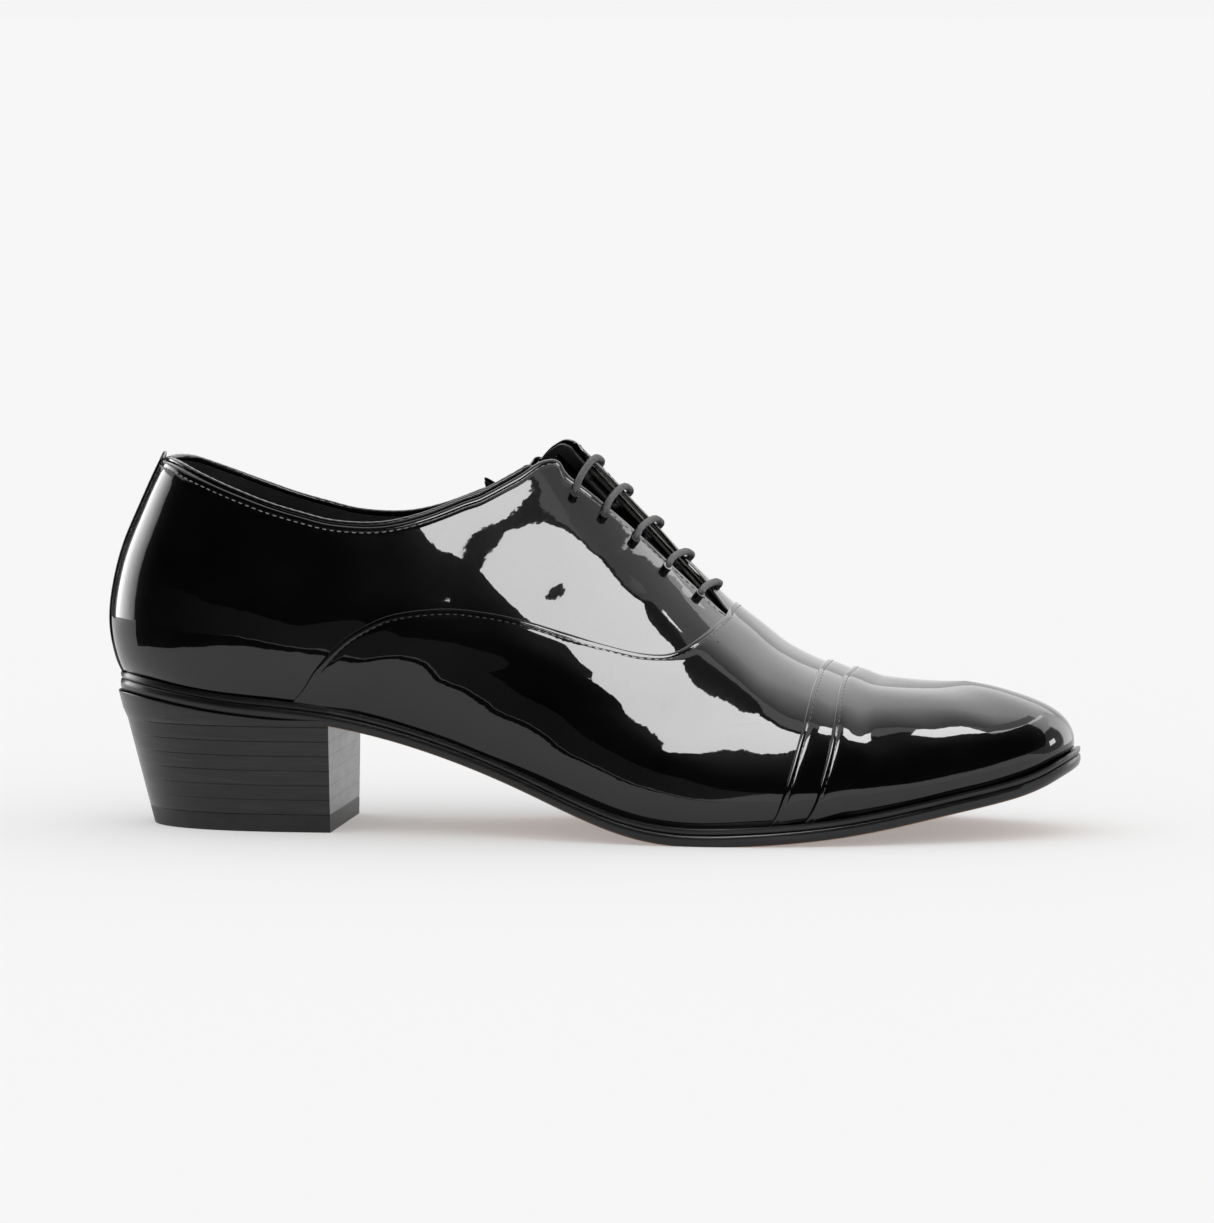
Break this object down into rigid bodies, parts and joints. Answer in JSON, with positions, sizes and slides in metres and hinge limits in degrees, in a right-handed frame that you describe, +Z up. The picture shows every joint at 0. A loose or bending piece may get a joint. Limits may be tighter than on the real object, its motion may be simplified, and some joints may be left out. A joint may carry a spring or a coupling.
{
  "type": "oxford shoe",
  "caption": "Laced leather oxford shoe for the right foot, with a wide toe cap, closed lacing and a stacked block heel.",
  "frame": {"origin": "on the floor under the middle of the shoe's plan outline, free lace tails left out", "axes": "+X to the toe, +Y to the inner (medial) side, +Z up"},
  "size_m": [0.2998, 0.1086, 0.1186],
  "materials": {
    "upper_leather": "highly polished smooth calf",
    "lining_leather": "matt black lining",
    "cloth": "matt cotton",
    "stiffener": "moulded raw leather",
    "binding_tape": "satin",
    "lace_cord": "waxed cotton",
    "eyelet_metal": "black enamel",
    "aglet_plastic": "gloss",
    "insole_leather": "raw shoulder leather",
    "shank_steel": "brushed",
    "cork": "matt cork paste",
    "sole_leather": "burnished black edge",
    "heel_leather": "burnished stacked leather",
    "top_rubber": "satin",
    "nail_steel": "plain"
  },
  "bodies": {
    "shoe": {"vamp": "upper_leather", "toe_cap": "upper_leather", "cap_band": "upper_leather", "vamp_lining": "lining_leather", "vamp_interlining": "cloth", "toe_puff": "stiffener", "quarter_lateral": "upper_leather", "quarter_medial": "upper_leather", "quarter_lining_lateral": "lining_leather", "quarter_lining_medial": "lining_leather", "heel_counter": "stiffener", "back_strip": "upper_leather", "topline_binding": "binding_tape", "facing_stay_lateral": "cloth", "facing_stay_medial": "cloth", "eyelets": "eyelet_metal", "lace": "lace_cord", "lace_tail_lateral": "lace_cord", "lace_tail_medial": "lace_cord", "aglets": "aglet_plastic", "sock": "lining_leather", "insole": "insole_leather", "shank": "shank_steel", "cork_filler": "cork", "welt": "sole_leather", "heel_rand": "sole_leather", "outsole": "sole_leather", "heel_wedge": "heel_leather", "heel_lift_1": "heel_leather", "heel_lift_2": "heel_leather", "heel_lift_3": "heel_leather", "heel_lift_4": "heel_leather", "heel_lift_5": "heel_leather", "heel_lift_6": "heel_leather", "top_piece": "top_rubber", "heel_nails": "nail_steel"},
    "tongue": {"tongue": "upper_leather", "tongue_lining": "lining_leather"}
  },
  "joints": [
    {"name": "tongue_fold", "type": "hinge", "parent": "shoe", "child": "tongue", "pos_m": [0.0525, 0.008, 0.0545], "axis": [0, -1, 0], "range_deg": [0, 12], "stiffness_Nm_per_rad": 0.2}
  ]
}
